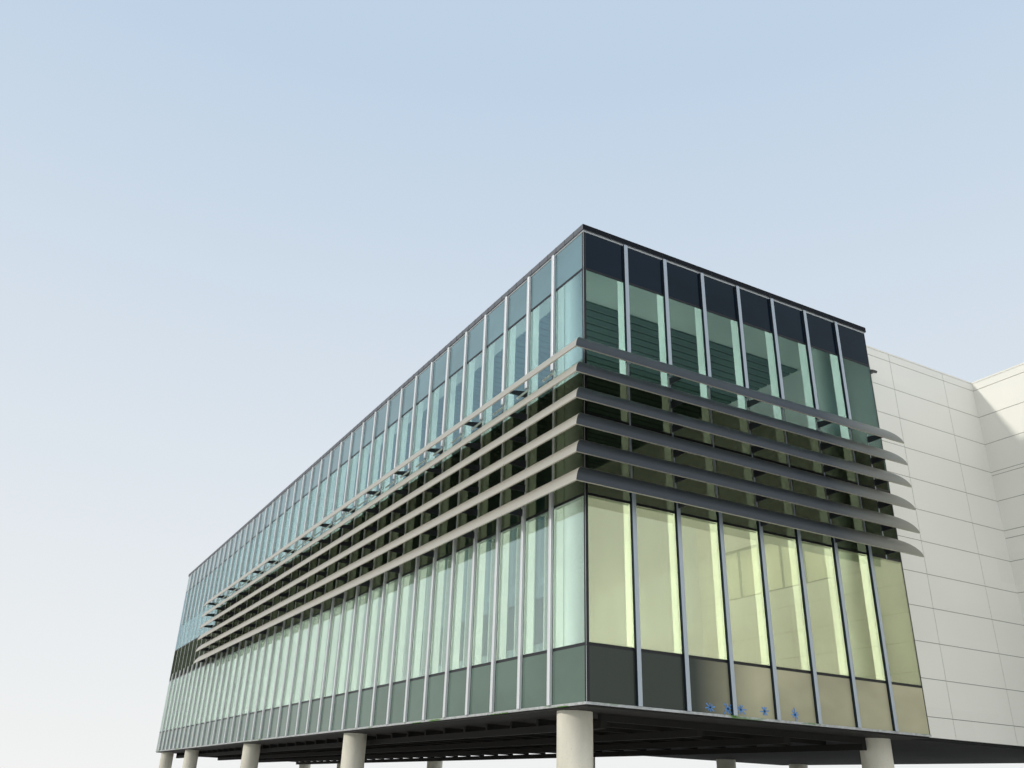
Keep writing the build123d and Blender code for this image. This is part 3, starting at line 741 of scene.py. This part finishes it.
class TERMINAL_OT_wall_panels(bpy.types.Operator):
    """Clad the white walls of the block and its wing with panels."""

    bl_idname = "terminal.wall_panels"
    bl_label = "Wall panels"

    def execute(self, context):
        sizes = context.scene.terminal_sizes
        south, east = Vector((0, -1, 0)), Vector((1, 0, 0))
        base = WALL_LOW.z
        levels = (RIBBON_LOW.z - base, RIBBON_HIGH.z - base)
        east_window = (RIBBON_LOW.y - BLOCK_LOW.y, RIBBON_HIGH.y - BLOCK_LOW.y)
        full, first = sizes.panel_width, sizes.first_panel_width
        wing_run, block_run = WALL_LOW.y - WING_LOW.y, BLOCK_HIGH.y - BLOCK_LOW.y
        # Each wall's name, lower left corner, directions along and out, length, first panel and window
        walls = (
            ("recessed_wall", WALL_LOW.xy, east, south, WING_LOW.x - WALL_LOW.x, first, None),
            ("wing_west", (WING_LOW.x, WALL_LOW.y), south, -east, wing_run, full, west_ribbon()),
            ("wing_south", WING_LOW.xy, east, south, BLOCK_HIGH.x - WING_LOW.x, full, None),
            ("block_east", (BLOCK_HIGH.x, BLOCK_LOW.y), -south, east, block_run, full, east_window),
            ("block_north", BLOCK_HIGH.xy, -east, -south, BLOCK_HIGH.x - WALL_LOW.x, full, None),
        )
        for name, corner, along, out, run, narrow, window in walls:
            columns = stations(narrow, full, run)
            opening = (window, levels) if window else None
            panel_wall(f"{name}_panels", Vector((*corner, base)), along, out, run, columns, sizes, opening)
        return {"FINISHED"}


def west_ribbon():
    """Start and end of the west ribbon window along its wall, read from the wall's own opening."""
    reach = 0.01
    low, high = RIBBON_LOW.z - reach, RIBBON_HIGH.z + reach
    edges = [vert.co.y for vert in frame["nodes"]["wing_west_wall"].data.vertices if low < vert.co.z < high]
    return WALL_LOW.y - max(edges), WALL_LOW.y - min(edges)


class TERMINAL_OT_ceiling(bpy.types.Operator):
    """Hang the baffles of the hall's ceiling behind its smooth border."""

    bl_idname = "terminal.ceiling"
    bl_label = "Ceiling baffles"

    def execute(self, context):
        sizes = context.scene.terminal_sizes
        form = bmesh.new()
        south_border, west_border, east_border, north_border = 2 * BAY, BAY, BAY / 8, BAY / 2
        low_x, high_x = WEST_X + west_border, EAST_X - east_border
        bottom = ROOF_BASE - sizes.baffle_depth
        for station in stations(south_border, sizes.baffle_pitch, NORTH_Y - SOUTH_Y - north_border):
            y = SOUTH_Y + station
            add_bar(form, (low_x, y, bottom), (high_x, y + sizes.baffle_width, ROOF_BASE))
        add_piece("ceiling_baffles", form, "baffle")
        return {"FINISHED"}


class TERMINAL_OT_gaskets(bpy.types.Operator):
    """Run black gaskets beside the fins and along the transoms."""

    bl_idname = "terminal.gaskets"
    bl_label = "Glazing gaskets"

    def execute(self, context):
        sizes = context.scene.terminal_sizes
        wide, proud = sizes.gasket_width, sizes.gasket_proud
        upright = bmesh.new()
        for side in (-FIN_HALF - wide, FIN_HALF):
            for line in LONG_LINES:
                y = line + side
                add_bar(upright, (WEST_X - proud, y, GLASS_BASE), (WEST_X, y + wide, GLASS_TOP))
            for line in SHORT_LINES:
                x = line + side
                add_bar(upright, (x, SOUTH_Y - proud, GLASS_BASE), (x + wide, SOUTH_Y, GLASS_TOP))
        add_piece("upright_gaskets", upright, "rubber")
        level = bmesh.new()
        for low, high in (BASE_TRANSOM, HEAD_TRANSOM, MID_TRANSOM, TOP_TRANSOM):
            for z in (low - wide / 2, high - wide / 2):
                add_bar(level, (WEST_X - proud / 2, SOUTH_Y, z), (WEST_X, NORTH_Y, z + wide))
                add_bar(level, (WEST_X, SOUTH_Y - proud / 2, z), (EAST_X, SOUTH_Y, z + wide))
        add_piece("level_gaskets", level, "rubber")
        return {"FINISHED"}


class TERMINAL_OT_coping_seams(bpy.types.Operator):
    """Fold standing seams across the roof coping."""

    bl_idname = "terminal.coping_seams"
    bl_label = "Coping seams"

    def execute(self, context):
        sizes = context.scene.terminal_sizes
        low, top = COPING_LOW, COPING_HIGH.z
        rise, wide, depth = sizes.seam_rise, sizes.seam_width, sizes.coping_depth
        form = bmesh.new()
        for station in stations(sizes.seam_pitch, sizes.seam_pitch, COPING_HIGH.y - low.y):
            y = low.y + station
            add_bar(form, (low.x - rise, y, low.z), (low.x + depth, y + wide, top))
        for station in stations(sizes.seam_pitch, sizes.seam_pitch, EAST_X - low.x):
            x = low.x + station
            add_bar(form, (x, low.y - rise, low.z), (x + wide, low.y + depth, top))
        add_piece("coping_seams", form, "coping")
        return {"FINISHED"}


def lapped_membrane(form, low, high, level, sizes):
    """Roofing membrane on a level rectangle, with a strip lapped over each joint."""
    sheet_top = level + sizes.membrane
    add_bar(form, (*low, level), (*high, sheet_top))
    for station in stations(sizes.lap_pitch, sizes.lap_pitch, high[1] - low[1]):
        y = low[1] + station
        lap_high = (high[0], y + sizes.lap_width, sheet_top + sizes.membrane)
        add_bar(form, (low[0], y, sheet_top), lap_high)


class TERMINAL_OT_roofs(bpy.types.Operator):
    """Lay lapped membrane on the roofs of the hall and the block."""

    bl_idname = "terminal.roofs"
    bl_label = "Roof membranes"

    def execute(self, context):
        sizes = context.scene.terminal_sizes
        margin = sizes.coping_depth
        low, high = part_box("hall_roof")
        hall = bmesh.new()
        hall_low, hall_high = (low.x + margin, low.y + margin), (high.x - margin, high.y - margin)
        lapped_membrane(hall, hall_low, hall_high, high.z, sizes)
        add_piece("hall_roof_membrane", hall, "membrane")
        low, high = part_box("block_roof")
        block = bmesh.new()
        lapped_membrane(block, (WING_HIGH.x, low.y), (high.x, high.y), high.z, sizes)
        lapped_membrane(block, (low.x, WALL_HIGH.y), (WING_HIGH.x, high.y), high.z, sizes)
        add_piece("block_roof_membrane", block, "membrane")
        return {"FINISHED"}


class TERMINAL_OT_blinds(bpy.types.Operator):
    """Draw the blinds behind the ribbon windows."""

    bl_idname = "terminal.blinds"
    bl_label = "Ribbon blinds"

    def execute(self, context):
        sizes = context.scene.terminal_sizes
        low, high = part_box("ribbon_glass")
        start, end = west_ribbon()
        west_x, east_x = low.x + sizes.blind_gap, high.x - sizes.blind_gap
        # The west blind glows with painted light
        for name, finish, x, south, north in (
            ("west_blinds", "glowing_blind", west_x, WALL_LOW.y - end, WALL_LOW.y - start),
            ("east_blinds", "blind", east_x, low.y, high.y),
        ):
            form = bmesh.new()
            add_bar(form, (x - sizes.blind_cloth, south, low.z), (x, north, high.z))
            add_piece(name, form, finish)
        return {"FINISHED"}


def arc_strip(form, start, centre, axis, turn, width):
    """A thin strip bent round a centre in eight steps, as wide as the vector width."""
    seed = bmesh.ops.create_vert(form, co=start)["vert"]
    bmesh.ops.spin(form, geom=seed, cent=centre, axis=axis, angle=turn, steps=8)
    edges = [edge for edge in form.edges if not edge.link_faces]
    raised = bmesh.ops.extrude_edge_only(form, edges=edges)
    moved = [item for item in raised["geom"] if isinstance(item, bmesh.types.BMVert)]
    bmesh.ops.translate(form, verts=moved, vec=width)


class TERMINAL_OT_blade_joints(bpy.types.Operator):
    """Mark the butt joints between the lengths of each louvre blade."""

    bl_idname = "terminal.blade_joints"
    bl_label = "Blade joints"

    def execute(self, context):
        sizes = context.scene.terminal_sizes
        form = bmesh.new()
        lift = sizes.joint_lift
        radius = BLADE_RADIUS + lift
        edge_gap = 1.0
        first_angle = math.radians(BLADE_LEAN + edge_gap)
        sweep = math.radians(BLADE_SWEEP - 2 * edge_gap)
        inset = BLADE_RADIUS * math.cos(math.radians(BLADE_LEAN))
        drop = BLADE_RADIUS * math.sin(math.radians(BLADE_LEAN))
        out_from_centre = radius * math.cos(first_angle)
        up_from_centre = radius * math.sin(first_angle)
        for blade in BLADES:
            low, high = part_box(blade)
            for station in stations(sizes.first_joint, sizes.joint_pitch, high.y - SOUTH_Y - BAY):
                centre = Vector((low.x + inset, SOUTH_Y + station, low.z - drop))
                start = centre + Vector((-out_from_centre, 0, up_from_centre))
                arc_strip(form, start, centre, (0, 1, 0), sweep, Vector((0, sizes.blade_joint, 0)))
            centre = Vector((WEST_X + sizes.joint_pitch, low.y + inset, low.z - drop))
            start = centre + Vector((0, -out_from_centre, up_from_centre))
            arc_strip(form, start, centre, (-1, 0, 0), sweep, Vector((sizes.blade_joint, 0, 0)))
        bmesh.ops.solidify(form, geom=form.faces[:], thickness=lift / 2)
        add_piece("blade_joints", form, "rubber")
        return {"FINISHED"}


class TERMINAL_OT_wear(bpy.types.Operator):
    """Leave the torn film on the short side's base glass and the moss on the long side's sill."""

    bl_idname = "terminal.wear"
    bl_label = "Film and moss"

    def execute(self, context):
        sizes = context.scene.terminal_sizes
        chance = random.Random(WEAR_SEED)
        film = bmesh.new()
        overlap = 0.002
        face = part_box("base_spandrels")[0].y - overlap
        crossing, wobble = math.pi / FILM_STRIPS, 0.2
        for bays in FILM_BAYS:
            middle = Vector((WEST_X + bays * BAY, face, GLASS_BASE + chance.uniform(*FILM_RISE)))
            for strip in range(FILM_STRIPS):
                turn = Matrix.Rotation(strip * crossing + chance.uniform(-wobble, wobble), 4, "Y")
                size = (sizes.film_scrap * chance.uniform(0.5, 1.0), FILM_THICKNESS, FILM_WIDTH)
                add_block(film, middle, size, turn)
        add_piece("film_scraps", film, "film")
        moss = bmesh.new()
        sill_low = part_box("base_sills")[0]
        for bays, spread in MOSS_PATCHES:
            for tuft in range(MOSS_TUFTS):
                y = SOUTH_Y + bays * BAY + chance.uniform(-spread, spread)
                size = [chance.uniform(*bounds) for bounds in (TUFT_DEPTH, TUFT_WIDTH, TUFT_HEIGHT)]
                place = Matrix.Translation((sill_low.x, y, sill_low.z)) @ Matrix.Diagonal((*size, 1.0))
                bmesh.ops.create_icosphere(moss, subdivisions=1, radius=1.0, matrix=place)
        add_piece("moss_tufts", moss, "moss")
        return {"FINISHED"}


class TERMINAL_OT_edge_trims(bpy.types.Operator):
    """Run the pale frames inside the lower panes, the seal beside the wall and the walls' drip edges."""

    bl_idname = "terminal.edge_trims"
    bl_label = "Edge trims"

    def execute(self, context):
        sizes = context.scene.terminal_sizes
        wide, inset = sizes.inner_frame, sizes.inner_frame_inset
        west, south = WEST_X + inset, SOUTH_Y + inset
        frames = bmesh.new()
        for z in (HEAD_TRANSOM[0] - wide, BASE_TRANSOM[1]):
            add_bar(frames, (west, south, z), (west + wide, NORTH_Y - BAY, z + wide))
            add_bar(frames, (west, south, z), (EAST_X - inset, south + wide, z + wide))
        add_piece("inner_frames", frames, "plaster")
        seal = bmesh.new()
        add_bar(seal, (EAST_X - wide, SOUTH_Y - sizes.gasket_proud, GLASS_BASE), (EAST_X, SOUTH_Y, GLASS_TOP))
        add_piece("wall_seal", seal, "rubber")
        corner = bmesh.new()
        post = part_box("corner_posts")[0]
        line_low = (post.x - sizes.gasket_proud / 2, post.y, GLASS_BASE)
        add_bar(corner, line_low, (post.x, post.y + sizes.gasket_width, GLASS_TOP))
        add_piece("corner_line", corner, "trim")
        drips = bmesh.new()
        proud, base = sizes.drip_proud, WALL_LOW.z
        top = base + sizes.drip_rise
        add_bar(drips, (WALL_LOW.x, WALL_LOW.y - proud, base), (WING_LOW.x, WALL_LOW.y, top))
        add_bar(drips, (WING_LOW.x - proud, WING_LOW.y, base), (WING_LOW.x, WALL_LOW.y, top))
        add_bar(drips, (WING_LOW.x, WING_LOW.y - proud, base), (BLOCK_HIGH.x, WING_LOW.y, top))
        add_bar(drips, (BLOCK_HIGH.x, BLOCK_LOW.y, base), (BLOCK_HIGH.x + proud, BLOCK_HIGH.y, top))
        add_piece("wall_drips", drips, "panel")
        return {"FINISHED"}


class TERMINAL_OT_sunlit_arm_struts(bpy.types.Operator):
    """Fix a bright slanted strut under the top blade at each fin of the long side: painted light, a white
    copy of the sunlit outrigger arms.
    """

    bl_idname = "terminal.top_struts"
    bl_label = "Top struts"

    def execute(self, context):
        sizes = context.scene.terminal_sizes
        blade_low, blade_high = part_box(BLADES[0])
        form = bmesh.new()
        slant = Matrix.Rotation(-math.pi / 4, 4, "Y")
        size = (sizes.strut_length, sizes.strut_width, sizes.strut_width)
        x, z = WEST_X - sizes.strut_out, blade_low.z + sizes.strut_rise
        for line in LONG_LINES:
            if line < blade_high.y - BAY:
                add_block(form, (x, line - sizes.strut_aside, z), size, slant)
        # White enamel stands in for the sunlit arms of the top outriggers: painted light
        add_piece("sunlit_arm_struts", form, "mullion")
        return {"FINISHED"}


class TERMINAL_OT_stage(bpy.types.Operator):
    """Set the pale floor, the soft light and the camera."""

    bl_idname = "terminal.stage"
    bl_label = "Stage"

    def execute(self, context):
        stage = context.scene.terminal_stage
        make_floor(stage)
        make_world(stage)
        make_key_light(stage)
        make_hall_lights(stage)
        make_tube_light(stage)
        make_camera(stage)
        context.scene.view_settings.view_transform = "Standard"
        return {"FINISHED"}


# Linear red, green and blue of the fill, the key light, the hall's lamps and the tube light
FILL_COLOUR = (0.91, 0.955, 1.0)
KEY_COLOUR = (1.0, 0.95, 0.87)
HALL_COLOUR = (1.0, 0.985, 0.95)
TUBE_COLOUR = (1.0, 1.0, 1.0)


def make_floor(stage):
    """A wide pale floor at ground level."""
    form = bmesh.new()
    half_width = 300
    bmesh.ops.create_grid(form, x_segments=1, y_segments=1, size=half_width)
    mesh = bpy.data.meshes.new("studio_floor")
    form.to_mesh(mesh)
    form.free()
    mesh.materials.append(coated("studio_floor_paint", stage.floor, 0.9, grain=even(3), spread=0.02))
    floor = bpy.data.objects.new("studio_floor", mesh)
    bpy.context.scene.collection.objects.link(floor)


def make_world(stage):
    """An even fill for the object, with a pale background that the camera, metal and glass see."""
    world = bpy.data.worlds.new("studio")
    bpy.context.scene.world = world
    world.use_nodes = True
    tree = world.node_tree
    tree.nodes.clear()
    ray = add(tree, "LightPath").outputs
    shown = 0.0
    for kind in ("Is Camera Ray", "Is Glossy Ray", "Is Transmission Ray"):
        shown = add(tree, "Math", {0: ray[kind], 1: shown}, operation="MAXIMUM").outputs[0]
    view = add(tree, "TexCoord").outputs["Generated"]
    height = add(tree, "SeparateXYZ", {"Vector": view}).outputs["Z"]
    zenith_height = 0.7
    sky = between(tree, height, stage.horizon, stage.zenith, 0.0, zenith_height)
    backdrop = add(tree, "Background", {"Color": sky, "Strength": 1.0}).outputs[0]
    toward = Vector(stage.fill_from).normalized()
    lean = add(tree, "VectorMath", {0: view, 1: toward}, operation="DOT_PRODUCT").outputs["Value"]
    least, most = stage.fill * 0.25, stage.fill * 1.5
    power = add(tree, "MapRange", {"Value": lean, "From Min": -1.0, "To Min": least, "To Max": most})
    fill_inputs = {"Color": (*FILL_COLOUR, 1.0), "Strength": power.outputs[0]}
    fill = add(tree, "Background", fill_inputs).outputs[0]
    mixed = add(tree, "MixShader", {0: shown, 1: fill, 2: backdrop}).outputs[0]
    add(tree, "OutputWorld", {"Surface": mixed})


def add_light(name, kind, power, tint, turn):
    """A lamp in the scene."""
    lamp = bpy.data.lights.new(name, kind)
    lamp.energy = power
    lamp.color = tint
    light = bpy.data.objects.new(name, lamp)
    light.rotation_euler = turn
    bpy.context.scene.collection.objects.link(light)
    return light


def shining_from(way):
    """The turn of a lamp that shines from a direction."""
    return Vector(way).to_track_quat("Z", "Y").to_euler()


def make_key_light(stage):
    """A soft key from the west, so that the long face is bright and the short one is in shade."""
    key = add_light("key_light", "SUN", stage.key, KEY_COLOUR, shining_from(stage.key_from))
    key.data.angle = stage.key_softness


def make_hall_lights(stage):
    """Three wide lamps in the hall, shining down, up and to the west, that no camera or mirror sees."""
    wide, long = EAST_X - WEST_X - 2 * BAY, NORTH_Y - SOUTH_Y - 2 * BAY
    middle = Vector(((WEST_X + EAST_X) / 2, (SOUTH_Y + NORTH_Y) / 2, 0))
    clear = 0.2
    down, up, westward = (0, 0, 0), (math.pi, 0, 0), (0, -math.pi / 2, 0)
    high, low = middle + UP * (ROOF_BASE - clear), middle + UP * (GLASS_BASE + clear)
    side = Vector((WEST_X + clear / 4, middle.y, (ROOF_BASE + GLASS_BASE) / 2))
    side_size = (ROOF_BASE - GLASS_BASE - 2 * clear, NORTH_Y - SOUTH_Y - clear)
    for name, power, size, turn, place in (
        ("hall_light_down", stage.hall_light, (wide, long), down, high),
        ("hall_light_up", stage.hall_light, (wide, long), up, low),
        ("hall_light_side", stage.side_light, side_size, westward, side),
    ):
        light = add_light(name, "AREA", power, HALL_COLOUR, turn)
        light.location = place
        light.data.shape = "RECTANGLE"
        light.data.size, light.data.size_y = size
        light.visible_camera = False
        light.visible_glossy = False
        light.visible_transmission = False


def make_tube_light(stage):
    """A lamp from the south-west that lights only the white tubes behind the glass."""
    light = add_light("tube_light", "SUN", stage.tube_light, TUBE_COLOUR, shining_from(stage.tube_from))
    lit = bpy.data.collections.new("white_tubes")
    for name in ("south_mullions", "west_mullions"):
        lit.objects.link(frame["nodes"][name])
    light.light_linking.receiver_collection = lit
    light.light_linking.blocker_collection = lit


def make_camera(stage):
    """A camera where the photograph was taken, worked out from the even bays of both faces."""
    yaw, pitch, roll = math.radians(27.662), math.radians(25.892), math.radians(2.384)
    bays_from_corner = Vector((-8.2305, -12.1611, -1.3656))
    focal_pixels = 879.26
    sensor = 36.0
    off_centre = Vector((16.63, 16.21))
    ahead = Vector((math.sin(yaw) * math.cos(pitch), math.cos(yaw) * math.cos(pitch), math.sin(pitch)))
    level = Vector((math.cos(yaw), -math.sin(yaw), 0))
    upright = level.cross(ahead)
    right = level * math.cos(roll) + upright * math.sin(roll)
    above = upright * math.cos(roll) - level * math.sin(roll)
    data = bpy.data.cameras.new("camera")
    data.sensor_width = sensor
    data.lens = focal_pixels / stage.image_width * sensor
    data.shift_x = off_centre.x / stage.image_width
    data.shift_y = -off_centre.y / stage.image_width
    data.clip_end = 1000
    camera = bpy.data.objects.new("camera", data)
    place = Matrix((right, above, -ahead)).transposed().to_4x4()
    place.translation = Vector((WEST_X, SOUTH_Y, GLASS_BASE)) + bays_from_corner * BAY
    camera.matrix_world = place
    bpy.context.scene.collection.objects.link(camera)
    bpy.context.scene.camera = camera


class TERMINAL_PT_panel(bpy.types.Panel):
    """Steps and settings of the terminal's finish."""

    bl_idname = "TERMINAL_PT_panel"
    bl_label = "Airport terminal"
    bl_space_type = "VIEW_3D"
    bl_region_type = "UI"
    bl_category = "Terminal"

    def draw(self, context):
        for operator in OPERATORS:
            self.layout.operator(operator.bl_idname)
        for group in (
            context.scene.terminal_sizes,
            context.scene.terminal_finishes,
            context.scene.terminal_stage,
        ):
            box = self.layout.box()
            for name in group.__annotations__:
                box.prop(group, name)


OPERATORS = (
    TERMINAL_OT_node_finishes,
    TERMINAL_OT_wall_panels,
    TERMINAL_OT_ceiling,
    TERMINAL_OT_gaskets,
    TERMINAL_OT_coping_seams,
    TERMINAL_OT_roofs,
    TERMINAL_OT_blinds,
    TERMINAL_OT_sunlit_arm_struts,
    TERMINAL_OT_blade_joints,
    TERMINAL_OT_wear,
    TERMINAL_OT_edge_trims,
    TERMINAL_OT_stage,
)
CLASSES = (TerminalSizes, TerminalFinishes, TerminalStage, *OPERATORS, TERMINAL_PT_panel)


def register():
    """Register the classes and put the settings on the scene."""
    for item in CLASSES:
        bpy.utils.register_class(item)
    bpy.types.Scene.terminal_sizes = PointerProperty(type=TerminalSizes)
    bpy.types.Scene.terminal_finishes = PointerProperty(type=TerminalFinishes)
    bpy.types.Scene.terminal_stage = PointerProperty(type=TerminalStage)


def unregister():
    """Take the settings and the classes away again."""
    del bpy.types.Scene.terminal_stage
    del bpy.types.Scene.terminal_finishes
    del bpy.types.Scene.terminal_sizes
    for item in reversed(CLASSES):
        bpy.utils.unregister_class(item)


def main():
    """Run every step in order."""
    register()
    for operator in OPERATORS:
        group, step = operator.bl_idname.split(".")
        getattr(getattr(bpy.ops, group), step)()


if __name__ == "__main__":
    main()
